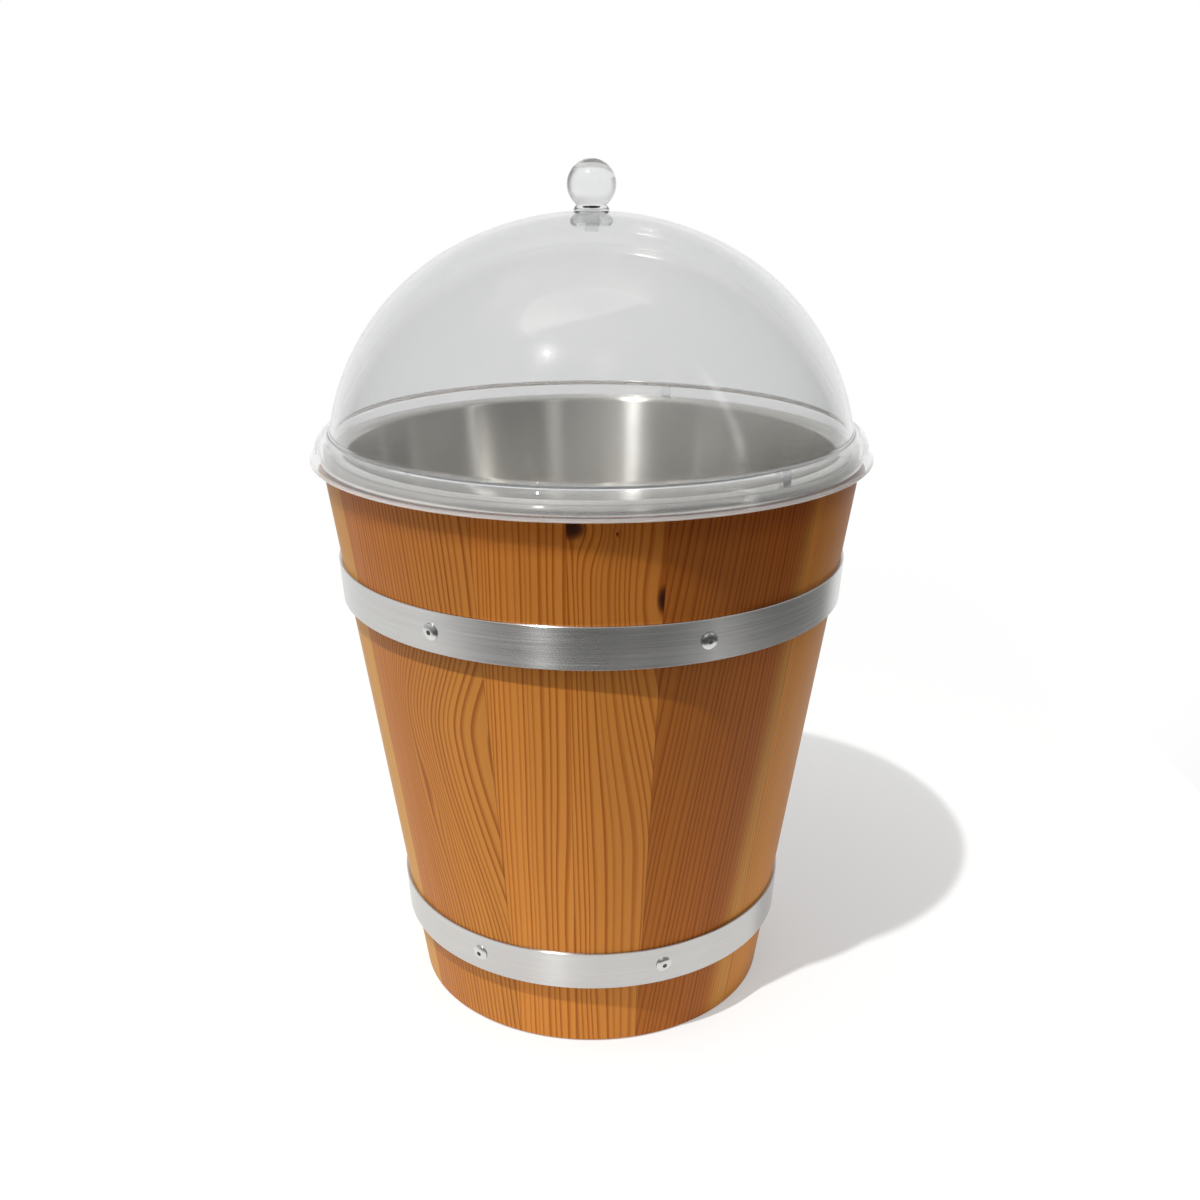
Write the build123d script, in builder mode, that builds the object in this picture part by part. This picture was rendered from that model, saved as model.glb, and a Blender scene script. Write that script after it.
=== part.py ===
from build123d import *
from math import atan, cos, degrees, radians, sin, sqrt
import os

# A stave-built bucket with a drop-in steel insert and a clear dome lid.
# Millimetres, +Z up, the origin at the middle of the base. The front faces -Y.

# Bucket, measured on the outside of the staves
BUCKET_HEIGHT = 285.0
BASE_RADIUS = 93.2
TOP_RADIUS = 133.9
STAVE_THICKNESS = 11.0
STAVE_EASING = 0.8

# Width of each stave in degrees, counted from the joint at the front left, towards the right
STAVE_ANGLES = (37, 18.5, 18.5, 35, 24, 33, 19, 36, 22, 31, 27, 34, 25)
FIRST_JOINT_ANGLE = -60.0

# Bottom boards and the groove that holds them
BOTTOM_RISE = 18.0
BOTTOM_THICKNESS = 12.0
BOARD_COUNT = 3
CROZE_WIDTH = 6.0
CROZE_DEPTH = 4.0
CROZE_CLEARANCE = 0.2
BOARD_BEVEL = 6.0
TONGUE_LENGTH = 4.0
TONGUE_THICKNESS = 4.0
TONGUE_CLEARANCE = 0.15

# Hoops: flat strip, less tapered than the staves, so each one bears at its upper edge and
# stands off at its lower edge
HOOP_WIDTH = 20.4
HOOP_THICKNESS = 1.5
HOOP_CLEARANCE = 0.1
HOOP_STANDOFF = 1.7
HOOP_EASING = 0.3
UPPER_HOOP_DROP = 48.4
LOWER_HOOP_RISE = 37.0
LAP_LENGTH = 38.0
LAP_RAMP = 9.0
LAP_RIVET_DISTANCE = 17.0

# Blind rivets, and where the front pair of each hoop sits in degrees from the front
RIVET_HEAD_RADIUS = 4.0
RIVET_HEAD_HEIGHT = 1.3
RIVET_BULGE = 0.22
RIVET_BRIM = 0.4
RIVET_RADIUS = 2.0
RIVET_CLEARANCE = 0.1
RIVET_COVER = 3.0
MANDREL_RADIUS = 1.1
MANDREL_DEPTH = 1.6
RIVET_STATIONS = 5
UPPER_RIVET_ANGLES = (-34.0, 23.7)
LOWER_RIVET_ANGLES = (-33.0, 20.5)

# Steel insert: a pail that hangs by its rolled rim on the tops of the staves
INSERT_FLOOR_GAP = 25.4
INSERT_WALL = 0.8
INSERT_CLEARANCE = 1.0
INSERT_CORNER = 14.0
RIM_SETBACK = 0.4
RIM_BEND = 2.5
HEM_RADIUS = 3.1
HEM_RETURN = 2.0

# Clear lid: one sheet in the form of a dome of two arcs, a round shoulder and a flared skirt,
# with lugs under the shoulder that seat it on the insert's rim
LID_WALL = 2.4
DOME_RISE = 102.1
DOME_FOOT_ROUND = 1.8
CROWN_RADIUS = 143.5
CROWN_ANGLE = 30.0
SHOULDER_WIDTH = 7.3
SHOULDER_HEIGHT = 7.35
SHOULDER_BULGE = 1.95
SKIRT_OVERHANG = 6.2
SKIRT_RISE = 0.9
SKIRT_FLARE = 3.1
SKIRT_HEIGHT = 6.15
SKIRT_ROUND = 1.15
SEAT_CLEARANCE = 0.25
LUG_COUNT = 3
FIRST_LUG_ANGLE = 40.0
LUG_SETBACK = 1.7
LUG_WIDTH = 2.4
LUG_LENGTH = 5.0

# Ball knob, its stud and the disc that holds it from below
KNOB_RADIUS = 11.75
NECK_RADIUS = 7.3
FOOT_RADIUS = 8.6
FOOT_HEIGHT = 0.7
NECK_HEIGHT = 2.0
STUD_RADIUS = 3.0
STUD_CLEARANCE = 0.15
STUD_PROJECTION = 2.5
RETAINER_RADIUS = 10.0
RETAINER_THICKNESS = 4.5
RETAINER_CHAMFER = 1.2
RETAINER_CLEARANCE = 0.05

os.makedirs("parts", exist_ok=True)

# Shared places
STAVE_TAPER = (TOP_RADIUS - BASE_RADIUS) / BUCKET_HEIGHT
HOOP_TAPER = STAVE_TAPER - (HOOP_STANDOFF - HOOP_CLEARANCE) / HOOP_WIDTH
HOOP_LEAN = degrees(atan(HOOP_TAPER))
UPPER_HOOP_RISE = BUCKET_HEIGHT - UPPER_HOOP_DROP - HOOP_WIDTH


def outer_radius(z):
    """Radius of the outside of the staves at height z."""
    return BASE_RADIUS + STAVE_TAPER * z


def inner_radius(z):
    """Radius of the inside of the staves at height z."""
    return outer_radius(z) - STAVE_THICKNESS


def front(angle):
    """Azimuth about Z of a place given in degrees from the front, towards the right."""
    return angle - 90.0


def section_plane(azimuth):
    """Upright plane through the axis: local x runs outwards at the azimuth, local y is +Z."""
    outwards = Vector(1, 0, 0).rotate(Axis.Z, azimuth)
    return Plane((0, 0, 0), x_dir=outwards, z_dir=outwards.cross(Vector(0, 0, 1)))


def finish(builder, name):
    """Label a finished piece and write it out."""
    builder.part.label = name
    export_step(builder.part, f"parts/{name}.step")


# Hoop and rivet places
def hoop_radius(rise, z):
    """Radius of a hoop's inner face at height z, for a hoop whose lower edge is at rise."""
    top = rise + HOOP_WIDTH
    return outer_radius(top) + HOOP_CLEARANCE - HOOP_TAPER * (top - z)


def rivet_places(rise, front_pair):
    """(azimuth, height of the seat above the strip) of each rivet; the middle one at the back is the lap."""
    step = (360.0 - (front_pair[1] - front_pair[0])) / (RIVET_STATIONS - 1)
    stations = [front_pair[1] + step * i for i in range(RIVET_STATIONS)]
    lap = stations.pop(RIVET_STATIONS // 2)
    spread = degrees(LAP_RIVET_DISTANCE / 2 / hoop_radius(rise, rise))
    places = [(front(angle), 0.0) for angle in stations]
    places += [(front(lap + side * spread), HOOP_THICKNESS) for side in (-1, 1)]
    return places, front(lap)


def rivet_seat(rise, azimuth, lift):
    """Plane under a rivet's head: local z points out of the hoop, square to its face."""
    middle = rise + HOOP_WIDTH / 2
    radius = hoop_radius(rise, middle) + (HOOP_THICKNESS + lift) / cos(radians(HOOP_LEAN))
    across = section_plane(azimuth)
    outwards = across.x_dir * cos(radians(HOOP_LEAN)) - across.y_dir * sin(radians(HOOP_LEAN))
    return Plane(across.from_local_coords((radius, middle)), x_dir=across.z_dir, z_dir=outwards)


def rivet_length(rise, lift):
    """Length of a rivet under its head, to RIVET_COVER short of the inside of the stave."""
    middle = rise + HOOP_WIDTH / 2
    seat = hoop_radius(rise, middle) + HOOP_THICKNESS + lift
    return seat - inner_radius(middle) - RIVET_COVER


HOOPS = {
    "upper": (UPPER_HOOP_RISE, *rivet_places(UPPER_HOOP_RISE, UPPER_RIVET_ANGLES)),
    "lower": (LOWER_HOOP_RISE, *rivet_places(LOWER_HOOP_RISE, LOWER_RIVET_ANGLES)),
}

# Staves
croze_top = BOTTOM_RISE + CROZE_WIDTH + CROZE_CLEARANCE
croze_radius = inner_radius(BOTTOM_RISE) + CROZE_DEPTH
stave_outline = (
    (BASE_RADIUS - STAVE_EASING, 0),
    (outer_radius(STAVE_EASING), STAVE_EASING),
    (outer_radius(BUCKET_HEIGHT - STAVE_EASING), BUCKET_HEIGHT - STAVE_EASING),
    (TOP_RADIUS - STAVE_EASING, BUCKET_HEIGHT),
    (inner_radius(BUCKET_HEIGHT), BUCKET_HEIGHT),
    (inner_radius(croze_top), croze_top),
    (croze_radius, croze_top),
    (croze_radius, BOTTOM_RISE),
    (inner_radius(BOTTOM_RISE), BOTTOM_RISE),
    (inner_radius(0), 0),
)
joint = FIRST_JOINT_ANGLE
for number, share in enumerate(STAVE_ANGLES, start=1):
    width = 360.0 * share / sum(STAVE_ANGLES)
    with BuildPart() as stave:
        with BuildSketch(section_plane(front(joint))):
            with BuildLine():
                Polyline(*stave_outline, close=True)
            make_face()
        revolve(axis=Axis.Z, revolution_arc=width)
        for rise, places, _ in HOOPS.values():
            for azimuth, lift in places:
                from_joint = (azimuth - front(joint)) % 360.0
                margin = degrees(2 * RIVET_RADIUS / BASE_RADIUS)
                if from_joint > width + margin and from_joint < 360.0 - margin:
                    continue
                with BuildSketch(rivet_seat(rise, azimuth, lift)):
                    Circle(RIVET_RADIUS + RIVET_CLEARANCE)
                extrude(amount=-rivet_length(rise, lift) - RIVET_CLEARANCE, mode=Mode.SUBTRACT)
    finish(stave, f"stave_{number:02d}")
    joint += width

# Bottom boards: one bevelled disc, divided by tongued joints
mouth_radius = inner_radius(BOTTOM_RISE) - CROZE_CLEARANCE
disc_radius = croze_radius - CROZE_CLEARANCE
bottom_top = BOTTOM_RISE + BOTTOM_THICKNESS
board_width = 2 * disc_radius / BOARD_COUNT
tongue_height = BOTTOM_RISE + CROZE_WIDTH / 2
for number in range(BOARD_COUNT):
    low = -disc_radius + board_width * number
    high = low + board_width
    with BuildPart() as board:
        with BuildSketch(Plane.XZ):
            with BuildLine():
                Polyline(
                    (0, BOTTOM_RISE),
                    (disc_radius, BOTTOM_RISE),
                    (disc_radius, BOTTOM_RISE + CROZE_WIDTH),
                    (mouth_radius, BOTTOM_RISE + CROZE_WIDTH),
                    (mouth_radius - BOARD_BEVEL, bottom_top),
                    (0, bottom_top),
                    close=True,
                )
            make_face()
        revolve(axis=Axis.Z)
        with BuildSketch(Plane.YZ):
            with Locations(((low + high) / 2, (BOTTOM_RISE + bottom_top) / 2)):
                Rectangle(board_width, BOTTOM_THICKNESS)
            if number > 0:
                groove_length = TONGUE_LENGTH + TONGUE_CLEARANCE
                with Locations((low + groove_length / 2, tongue_height)):
                    Rectangle(groove_length, TONGUE_THICKNESS + 2 * TONGUE_CLEARANCE, mode=Mode.SUBTRACT)
            if number < BOARD_COUNT - 1:
                with Locations((high + TONGUE_LENGTH / 2, tongue_height)):
                    Rectangle(TONGUE_LENGTH, TONGUE_THICKNESS)
        extrude(amount=disc_radius, both=True, mode=Mode.INTERSECT)
    finish(board, f"bottom_board_{number + 1}")


# Hoops: a ring, and over its lap a second layer that rises from the ring on a short ramp
def strip_section(rise, azimuth, lift):
    """Section of a hoop's strip at the azimuth, moved outwards by lift, with eased outer corners."""
    top = rise + HOOP_WIDTH
    inner_low = hoop_radius(rise, rise) + lift
    inner_high = hoop_radius(rise, top) + lift
    with BuildSketch(section_plane(azimuth)) as section:
        with BuildLine():
            Polyline(
                (inner_low, rise),
                (inner_low + HOOP_THICKNESS - HOOP_EASING, rise),
                (inner_low + HOOP_THICKNESS + HOOP_TAPER * HOOP_EASING, rise + HOOP_EASING),
                (inner_high + HOOP_THICKNESS - HOOP_TAPER * HOOP_EASING, top - HOOP_EASING),
                (inner_high + HOOP_THICKNESS - HOOP_EASING, top),
                (inner_high, top),
                close=True,
            )
        make_face()
    return section.sketch


for name, (rise, places, lap_azimuth) in HOOPS.items():
    lap_radius = hoop_radius(rise, rise)
    lap_width = degrees(LAP_LENGTH / lap_radius)
    lap_start = lap_azimuth - lap_width / 2
    ramp_start = lap_start - degrees(LAP_RAMP / lap_radius)
    with BuildPart() as hoop:
        revolve(strip_section(rise, lap_start, 0), axis=Axis.Z)
        revolve(strip_section(rise, lap_start, HOOP_THICKNESS), axis=Axis.Z, revolution_arc=lap_width)
        loft(
            [strip_section(rise, ramp_start, 0), strip_section(rise, lap_start, HOOP_THICKNESS)],
            ruled=True,
        )
        for azimuth, lift in places:
            with BuildSketch(rivet_seat(rise, azimuth, lift)):
                Circle(RIVET_RADIUS + RIVET_CLEARANCE)
            extrude(amount=-rivet_length(rise, lift), mode=Mode.SUBTRACT)
    finish(hoop, f"{name}_hoop")

    with BuildPart() as rivets:
        for azimuth, lift in places:
            seat = rivet_seat(rise, azimuth, lift)
            with BuildSketch(Plane(seat.origin, x_dir=seat.x_dir, z_dir=-seat.y_dir)):
                with BuildLine():
                    under = Polyline(
                        (MANDREL_RADIUS, RIVET_HEAD_HEIGHT),
                        (MANDREL_RADIUS, RIVET_HEAD_HEIGHT - MANDREL_DEPTH),
                        (0, RIVET_HEAD_HEIGHT - MANDREL_DEPTH),
                        (0, -rivet_length(rise, lift)),
                        (RIVET_RADIUS, -rivet_length(rise, lift)),
                        (RIVET_RADIUS, 0),
                        (RIVET_HEAD_RADIUS, 0),
                        (RIVET_HEAD_RADIUS, RIVET_BRIM),
                    )
                    SagittaArc(under @ 0, under @ 1, RIVET_BULGE)
                make_face()
            revolve(axis=Axis(seat.origin, seat.z_dir))
    finish(rivets, f"{name}_hoop_rivets")

# Steel insert: a drawn pail whose flange ends in a rolled hem with a flat foot
rim_radius = TOP_RADIUS - RIM_SETBACK
rim_top = BUCKET_HEIGHT + 2 * HEM_RADIUS
insert_base = bottom_top + INSERT_FLOOR_GAP
hem_middle = rim_radius - HEM_RADIUS


def insert_radius(z, depth):
    """Radius at height z of the face that lies depth inside the insert's outer wall."""
    return inner_radius(z) - INSERT_CLEARANCE - depth * sqrt(1 + STAVE_TAPER**2)


def insert_side(depth):
    """One side of the sheet, from the axis out to the hem."""
    floor = insert_base + depth
    flange = rim_top - INSERT_WALL + depth
    return FilletPolyline(
        (0, floor),
        (insert_radius(floor, depth), floor),
        (insert_radius(flange, depth), flange),
        (hem_middle, flange),
        radius=(INSERT_CORNER - depth, RIM_BEND + depth),
    )


with BuildPart() as insert:
    with BuildSketch(Plane.XZ):
        with BuildLine():
            under = insert_side(0)
            upper = insert_side(INSERT_WALL)
            Line(under @ 0, upper @ 0)
            JernArc(upper @ 1, tangent=(1, 0), radius=HEM_RADIUS, arc_size=-180)
            JernArc(under @ 1, tangent=(1, 0), radius=HEM_RADIUS - INSERT_WALL, arc_size=-180)
            Polyline(
                (hem_middle, BUCKET_HEIGHT),
                (hem_middle - HEM_RETURN, BUCKET_HEIGHT),
                (hem_middle - HEM_RETURN, BUCKET_HEIGHT + INSERT_WALL),
                (hem_middle, BUCKET_HEIGHT + INSERT_WALL),
            )
        make_face()
    revolve(axis=Axis.Z)
finish(insert, "steel_insert")

# Lid: the sheet in one section, and the lugs that rise from the seat into the shoulder
seat_height = rim_top + SEAT_CLEARANCE
lid_radius = TOP_RADIUS + SKIRT_OVERHANG
skirt_base = BUCKET_HEIGHT + SKIRT_RISE
skirt_top = skirt_base + SKIRT_HEIGHT
shoulder_radius = lid_radius - SKIRT_FLARE
dome_radius = shoulder_radius - SHOULDER_WIDTH
dome_base = skirt_top + SHOULDER_HEIGHT
apex = dome_base + DOME_RISE
lug_radius = dome_radius - LUG_SETBACK + LUG_WIDTH / 2
lug_turn = degrees(LUG_LENGTH / lug_radius)
lug_height = dome_base - LID_WALL / 2 - seat_height
with BuildPart() as lid:
    with BuildSketch(Plane.XZ) as sheet:
        with BuildLine():
            crown = JernArc((0, apex), tangent=(1, 0), radius=CROWN_RADIUS, arc_size=-CROWN_ANGLE)
            TangentArc(crown @ 1, (dome_radius, dome_base), tangent=crown % 1)
            SagittaArc((dome_radius, dome_base), (shoulder_radius, skirt_top), SHOULDER_BULGE)
            Line((shoulder_radius, skirt_top), (lid_radius, skirt_base))
            offset(amount=LID_WALL, side=Side.RIGHT)
        make_face()
        fillet(sheet.vertices().sort_by_distance((dome_radius, dome_base))[0], DOME_FOOT_ROUND)
        fillet(sheet.vertices().sort_by(Axis.Y)[:2], SKIRT_ROUND)
    revolve(axis=Axis.Z)
    for number in range(LUG_COUNT):
        middle = front(FIRST_LUG_ANGLE + number * 360.0 / LUG_COUNT)
        with BuildSketch(section_plane(middle - lug_turn / 2)):
            with Locations((lug_radius, seat_height + lug_height / 2)):
                Rectangle(LUG_WIDTH, lug_height)
        revolve(axis=Axis.Z, revolution_arc=lug_turn)
    with Locations((0, 0, apex)):
        Hole(STUD_RADIUS + STUD_CLEARANCE)
finish(lid, "lid_dome")

# Knob: ball, neck and foot on the crown, with a stud through it
crown_sag = CROWN_RADIUS - LID_WALL - sqrt((CROWN_RADIUS - LID_WALL) ** 2 - RETAINER_RADIUS**2)
retainer_top = apex - LID_WALL - crown_sag - RETAINER_CLEARANCE
retainer_base = retainer_top - RETAINER_THICKNESS
neck_top = apex + FOOT_HEIGHT + NECK_HEIGHT
knob_height = neck_top + sqrt(KNOB_RADIUS**2 - NECK_RADIUS**2)
with BuildPart() as knob:
    with BuildSketch(Plane.XZ):
        with BuildLine():
            ThreePointArc(
                (0, knob_height + KNOB_RADIUS),
                (KNOB_RADIUS, knob_height),
                (NECK_RADIUS, neck_top),
            )
            Polyline(
                (NECK_RADIUS, neck_top),
                (FOOT_RADIUS, apex + FOOT_HEIGHT),
                (FOOT_RADIUS, apex),
                (STUD_RADIUS, apex),
                (STUD_RADIUS, retainer_base - STUD_PROJECTION),
                (0, retainer_base - STUD_PROJECTION),
                (0, knob_height + KNOB_RADIUS),
            )
        make_face()
    revolve(axis=Axis.Z)
finish(knob, "lid_knob")

# Retaining disc on the stud, up against the inside of the crown
with BuildPart() as retainer:
    with BuildSketch(Plane.XY.offset(retainer_base)):
        Circle(RETAINER_RADIUS)
    extrude(amount=RETAINER_THICKNESS)
    chamfer(retainer.faces().sort_by(Axis.Z)[0].edges(), length=RETAINER_CHAMFER)
    with Locations((0, 0, retainer_top)):
        Hole(STUD_RADIUS + STUD_CLEARANCE)
finish(retainer, "knob_retainer")
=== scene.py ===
"""Looks for a stave-built bucket with a drop-in steel insert and a clear dome lid.

Metres, +Z up, the origin at the middle of the base. The front faces -Y, and angles about the
axis are counted from the front, positive towards +X.
"""

import math
import random

import bpy
import numpy as np
from mathutils import Matrix, Vector


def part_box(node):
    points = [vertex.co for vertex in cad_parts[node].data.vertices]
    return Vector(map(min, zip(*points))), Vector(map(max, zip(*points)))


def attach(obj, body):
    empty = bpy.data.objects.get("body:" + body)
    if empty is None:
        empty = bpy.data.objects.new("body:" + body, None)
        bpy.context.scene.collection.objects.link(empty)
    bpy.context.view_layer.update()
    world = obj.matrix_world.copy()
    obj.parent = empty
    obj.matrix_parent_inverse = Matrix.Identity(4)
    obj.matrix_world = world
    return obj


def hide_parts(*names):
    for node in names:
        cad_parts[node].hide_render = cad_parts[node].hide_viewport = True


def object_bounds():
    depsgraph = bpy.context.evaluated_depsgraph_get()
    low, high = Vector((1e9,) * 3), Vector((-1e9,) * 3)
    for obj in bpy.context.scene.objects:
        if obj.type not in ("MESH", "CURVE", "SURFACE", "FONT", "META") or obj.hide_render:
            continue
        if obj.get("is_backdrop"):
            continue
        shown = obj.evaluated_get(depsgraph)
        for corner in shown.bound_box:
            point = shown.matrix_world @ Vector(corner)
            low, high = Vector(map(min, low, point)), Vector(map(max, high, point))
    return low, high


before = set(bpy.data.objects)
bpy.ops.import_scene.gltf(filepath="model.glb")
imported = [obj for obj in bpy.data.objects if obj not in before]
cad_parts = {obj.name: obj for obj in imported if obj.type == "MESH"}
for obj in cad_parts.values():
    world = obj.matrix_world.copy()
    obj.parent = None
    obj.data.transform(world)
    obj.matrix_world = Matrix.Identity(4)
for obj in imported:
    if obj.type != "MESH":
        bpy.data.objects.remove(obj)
cad_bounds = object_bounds()

MM = 0.001
FULL_TURN = 2 * math.pi
ON_AXIS = 1e-7

# Bucket, on the outside of the staves
BUCKET_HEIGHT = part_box("stave_01")[1].z
BASE_RADIUS = 93.2 * MM
TOP_RADIUS = 133.9 * MM
STAVE_THICKNESS = 11 * MM
STAVE_TAPER = (TOP_RADIUS - BASE_RADIUS) / BUCKET_HEIGHT
STAVE_COUNT = 13

# Steel insert
INSERT_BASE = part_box("steel_insert")[0].z
RIM_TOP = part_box("steel_insert")[1].z
RIM_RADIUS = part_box("steel_insert")[1].x
INSERT_WALL = 0.8 * MM
INSERT_CLEARANCE = 1.0 * MM
INSERT_CORNER = 14 * MM
RIM_BEND = 2.5 * MM
HEM_RADIUS = 3.1 * MM
HEM_RETURN = 2 * MM

# Clear lid: a sheet with a dome, a round shoulder and a flared skirt, on three lugs
LID_WALL = 2.4 * MM
DOME_RISE = 102.1 * MM
DOME_FOOT_ROUND = 1.8 * MM
CROWN_RADIUS = 143.5 * MM
CROWN_ANGLE = math.radians(30)
SHOULDER_WIDTH = 7.3 * MM
SHOULDER_HEIGHT = 7.35 * MM
SHOULDER_BULGE = 1.95 * MM
SKIRT_RADIUS = TOP_RADIUS + 6.2 * MM
SKIRT_BASE = BUCKET_HEIGHT + 0.9 * MM
SKIRT_FLARE = 3.1 * MM
SKIRT_HEIGHT = 6.15 * MM
SKIRT_ROUND = 1.15 * MM
SEAT_CLEARANCE = 0.25 * MM
LUG_ANGLES = (40, 160, -80)
LUG_SETBACK = 1.7 * MM
LUG_WIDTH = 2.4 * MM
LUG_LENGTH = 5 * MM
LUG_INNER_DROP = 1.95 * MM
LUG_OUTER_DROP = 2.65 * MM

SKIRT_TOP = SKIRT_BASE + SKIRT_HEIGHT
SHOULDER_RADIUS = SKIRT_RADIUS - SKIRT_FLARE
DOME_RADIUS = SHOULDER_RADIUS - SHOULDER_WIDTH
DOME_BASE = SKIRT_TOP + SHOULDER_HEIGHT
LUG_RADIUS = DOME_RADIUS - LUG_SETBACK
APEX = DOME_BASE + DOME_RISE

# Knob and its retaining disc
KNOB_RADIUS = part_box("lid_knob")[1].x
KNOB_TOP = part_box("lid_knob")[1].z
STUD_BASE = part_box("lid_knob")[0].z
STUD_RADIUS = 3 * MM
STUD_CLEARANCE = 0.15 * MM
NECK_RADIUS = 7.3 * MM
FOOT_RADIUS = 8.6 * MM
FOOT_HEIGHT = 0.7 * MM
RETAINER_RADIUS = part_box("knob_retainer")[1].x
RETAINER_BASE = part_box("knob_retainer")[0].z
RETAINER_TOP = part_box("knob_retainer")[1].z
RETAINER_CHAMFER = 1.2 * MM

# Blind rivets
RIVET_HEAD_HEIGHT = 1.3 * MM
RIVET_HEAD_RADIUS = 4 * MM
RIVET_BRIM = 0.4 * MM
RIVET_BULGE = 0.22 * MM
RIVET_RADIUS = 2 * MM
MANDREL_RADIUS = 1.15 * MM
MANDREL_DEPTH = 3.2 * MM

# Facets round the axis
PAIL_SEGMENTS = 192
DOME_SEGMENTS = 256
KNOB_SEGMENTS = 96
RIVET_SEGMENTS = 40


# Outlines: points of (radius, height)
def arc(centre, radius, start, end, steps):
    """Points on an arc, with angles in radians from the outward direction, turning upwards."""
    angles = np.linspace(start, end, steps + 1)
    return [(centre[0] + radius * math.cos(a), centre[1] + radius * math.sin(a)) for a in angles]


def sagitta_arc(start, end, bulge, steps):
    """An arc that bulges to the left of the way from start to end."""
    start, end = Vector(start), Vector(end)
    chord = end - start
    radius = (chord.length_squared / 4 + bulge**2) / (2 * bulge)
    left = Vector((-chord.y, chord.x)).normalized()
    centre = (start + end) / 2 - left * (radius - bulge)
    first = math.atan2(start.y - centre.y, start.x - centre.x)
    last = math.atan2(end.y - centre.y, end.x - centre.x)
    return arc(centre, radius, first, last, steps)


def other_side(points, distance):
    """The line at a distance to the right of the way through the points, round where they turn left."""
    points = [Vector(point) for point in points]
    ways = [(after - before).normalized() for before, after in zip(points, points[1:])]
    moved = []
    for point, before, after in zip(points, ways[:1] + ways, ways + ways[-1:]):
        first = math.atan2(-before.x, before.y)
        turn = -before.angle_signed(after)
        steps = max(1, round(abs(turn) / math.radians(15)))
        spread = [i / steps for i in range(steps + 1)] if steps > 1 else [0.5]
        moved += [(point.x + distance * math.cos(first + turn * share),
                   point.y + distance * math.sin(first + turn * share)) for share in spread]
    return moved


def rounded(corners, radii, steps=6):
    """A line through the corners, with each inner corner rounded by its radius."""
    points = [corners[0]]
    for before, corner, after, radius in zip(corners, corners[1:], corners[2:], radii):
        corner = Vector(corner)
        to_before = (Vector(before) - corner).normalized()
        to_after = (Vector(after) - corner).normalized()
        half = to_before.angle(to_after) / 2
        middle = (to_before + to_after).normalized()
        centre = corner + middle * (radius / math.sin(half))
        first = corner + to_before * (radius / math.tan(half)) - centre
        sweep = first.angle_signed(corner + to_after * (radius / math.tan(half)) - centre)
        for i in range(steps + 1):
            turn = Matrix.Rotation(-sweep * i / steps, 2)
            points.append(tuple(centre + turn @ first))
    points.append(corners[-1])
    return points


def turned(outline, segments, closed=True):
    """Vertices and faces turned about the Z axis from an outline; points on the axis become poles."""
    vertices = []
    rings = []
    for radius, height in outline:
        if radius < ON_AXIS:
            rings.append([len(vertices)])
            vertices.append((0, 0, height))
            continue
        rings.append(list(range(len(vertices), len(vertices) + segments)))
        for i in range(segments):
            turn = FULL_TURN * i / segments
            vertices.append((radius * math.cos(turn), radius * math.sin(turn), height))
    faces = []
    pairs = list(zip(rings, rings[1:]))
    if closed:
        pairs.append((rings[-1], rings[0]))
    for low, high in pairs:
        for i in range(segments):
            j = (i + 1) % segments
            corners = [low[i % len(low)], low[j % len(low)], high[j % len(high)], high[i % len(high)]]
            faces.append(list(dict.fromkeys(corners)))
    return vertices, faces


def joined(forms):
    """The vertices and faces of several forms as those of one."""
    vertices = []
    faces = []
    for form_vertices, form_faces in forms:
        faces += [[i + len(vertices) for i in face] for face in form_faces]
        vertices += form_vertices
    return vertices, faces


def finished_mesh(name, form, smooth_angle=30):
    """A smooth-shaded object, sharp where its faces meet at more than the angle."""
    vertices, faces = form
    mesh = bpy.data.meshes.new(name)
    mesh.from_pydata(vertices, [], faces)
    mesh.update()
    mesh.shade_smooth()
    mesh.set_sharp_from_angle(angle=math.radians(smooth_angle))
    piece = bpy.data.objects.new(name, mesh)
    bpy.context.scene.collection.objects.link(piece)
    return piece


def outer_radius(z):
    """Radius of the outside of the staves at height z."""
    return BASE_RADIUS + STAVE_TAPER * z


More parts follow.
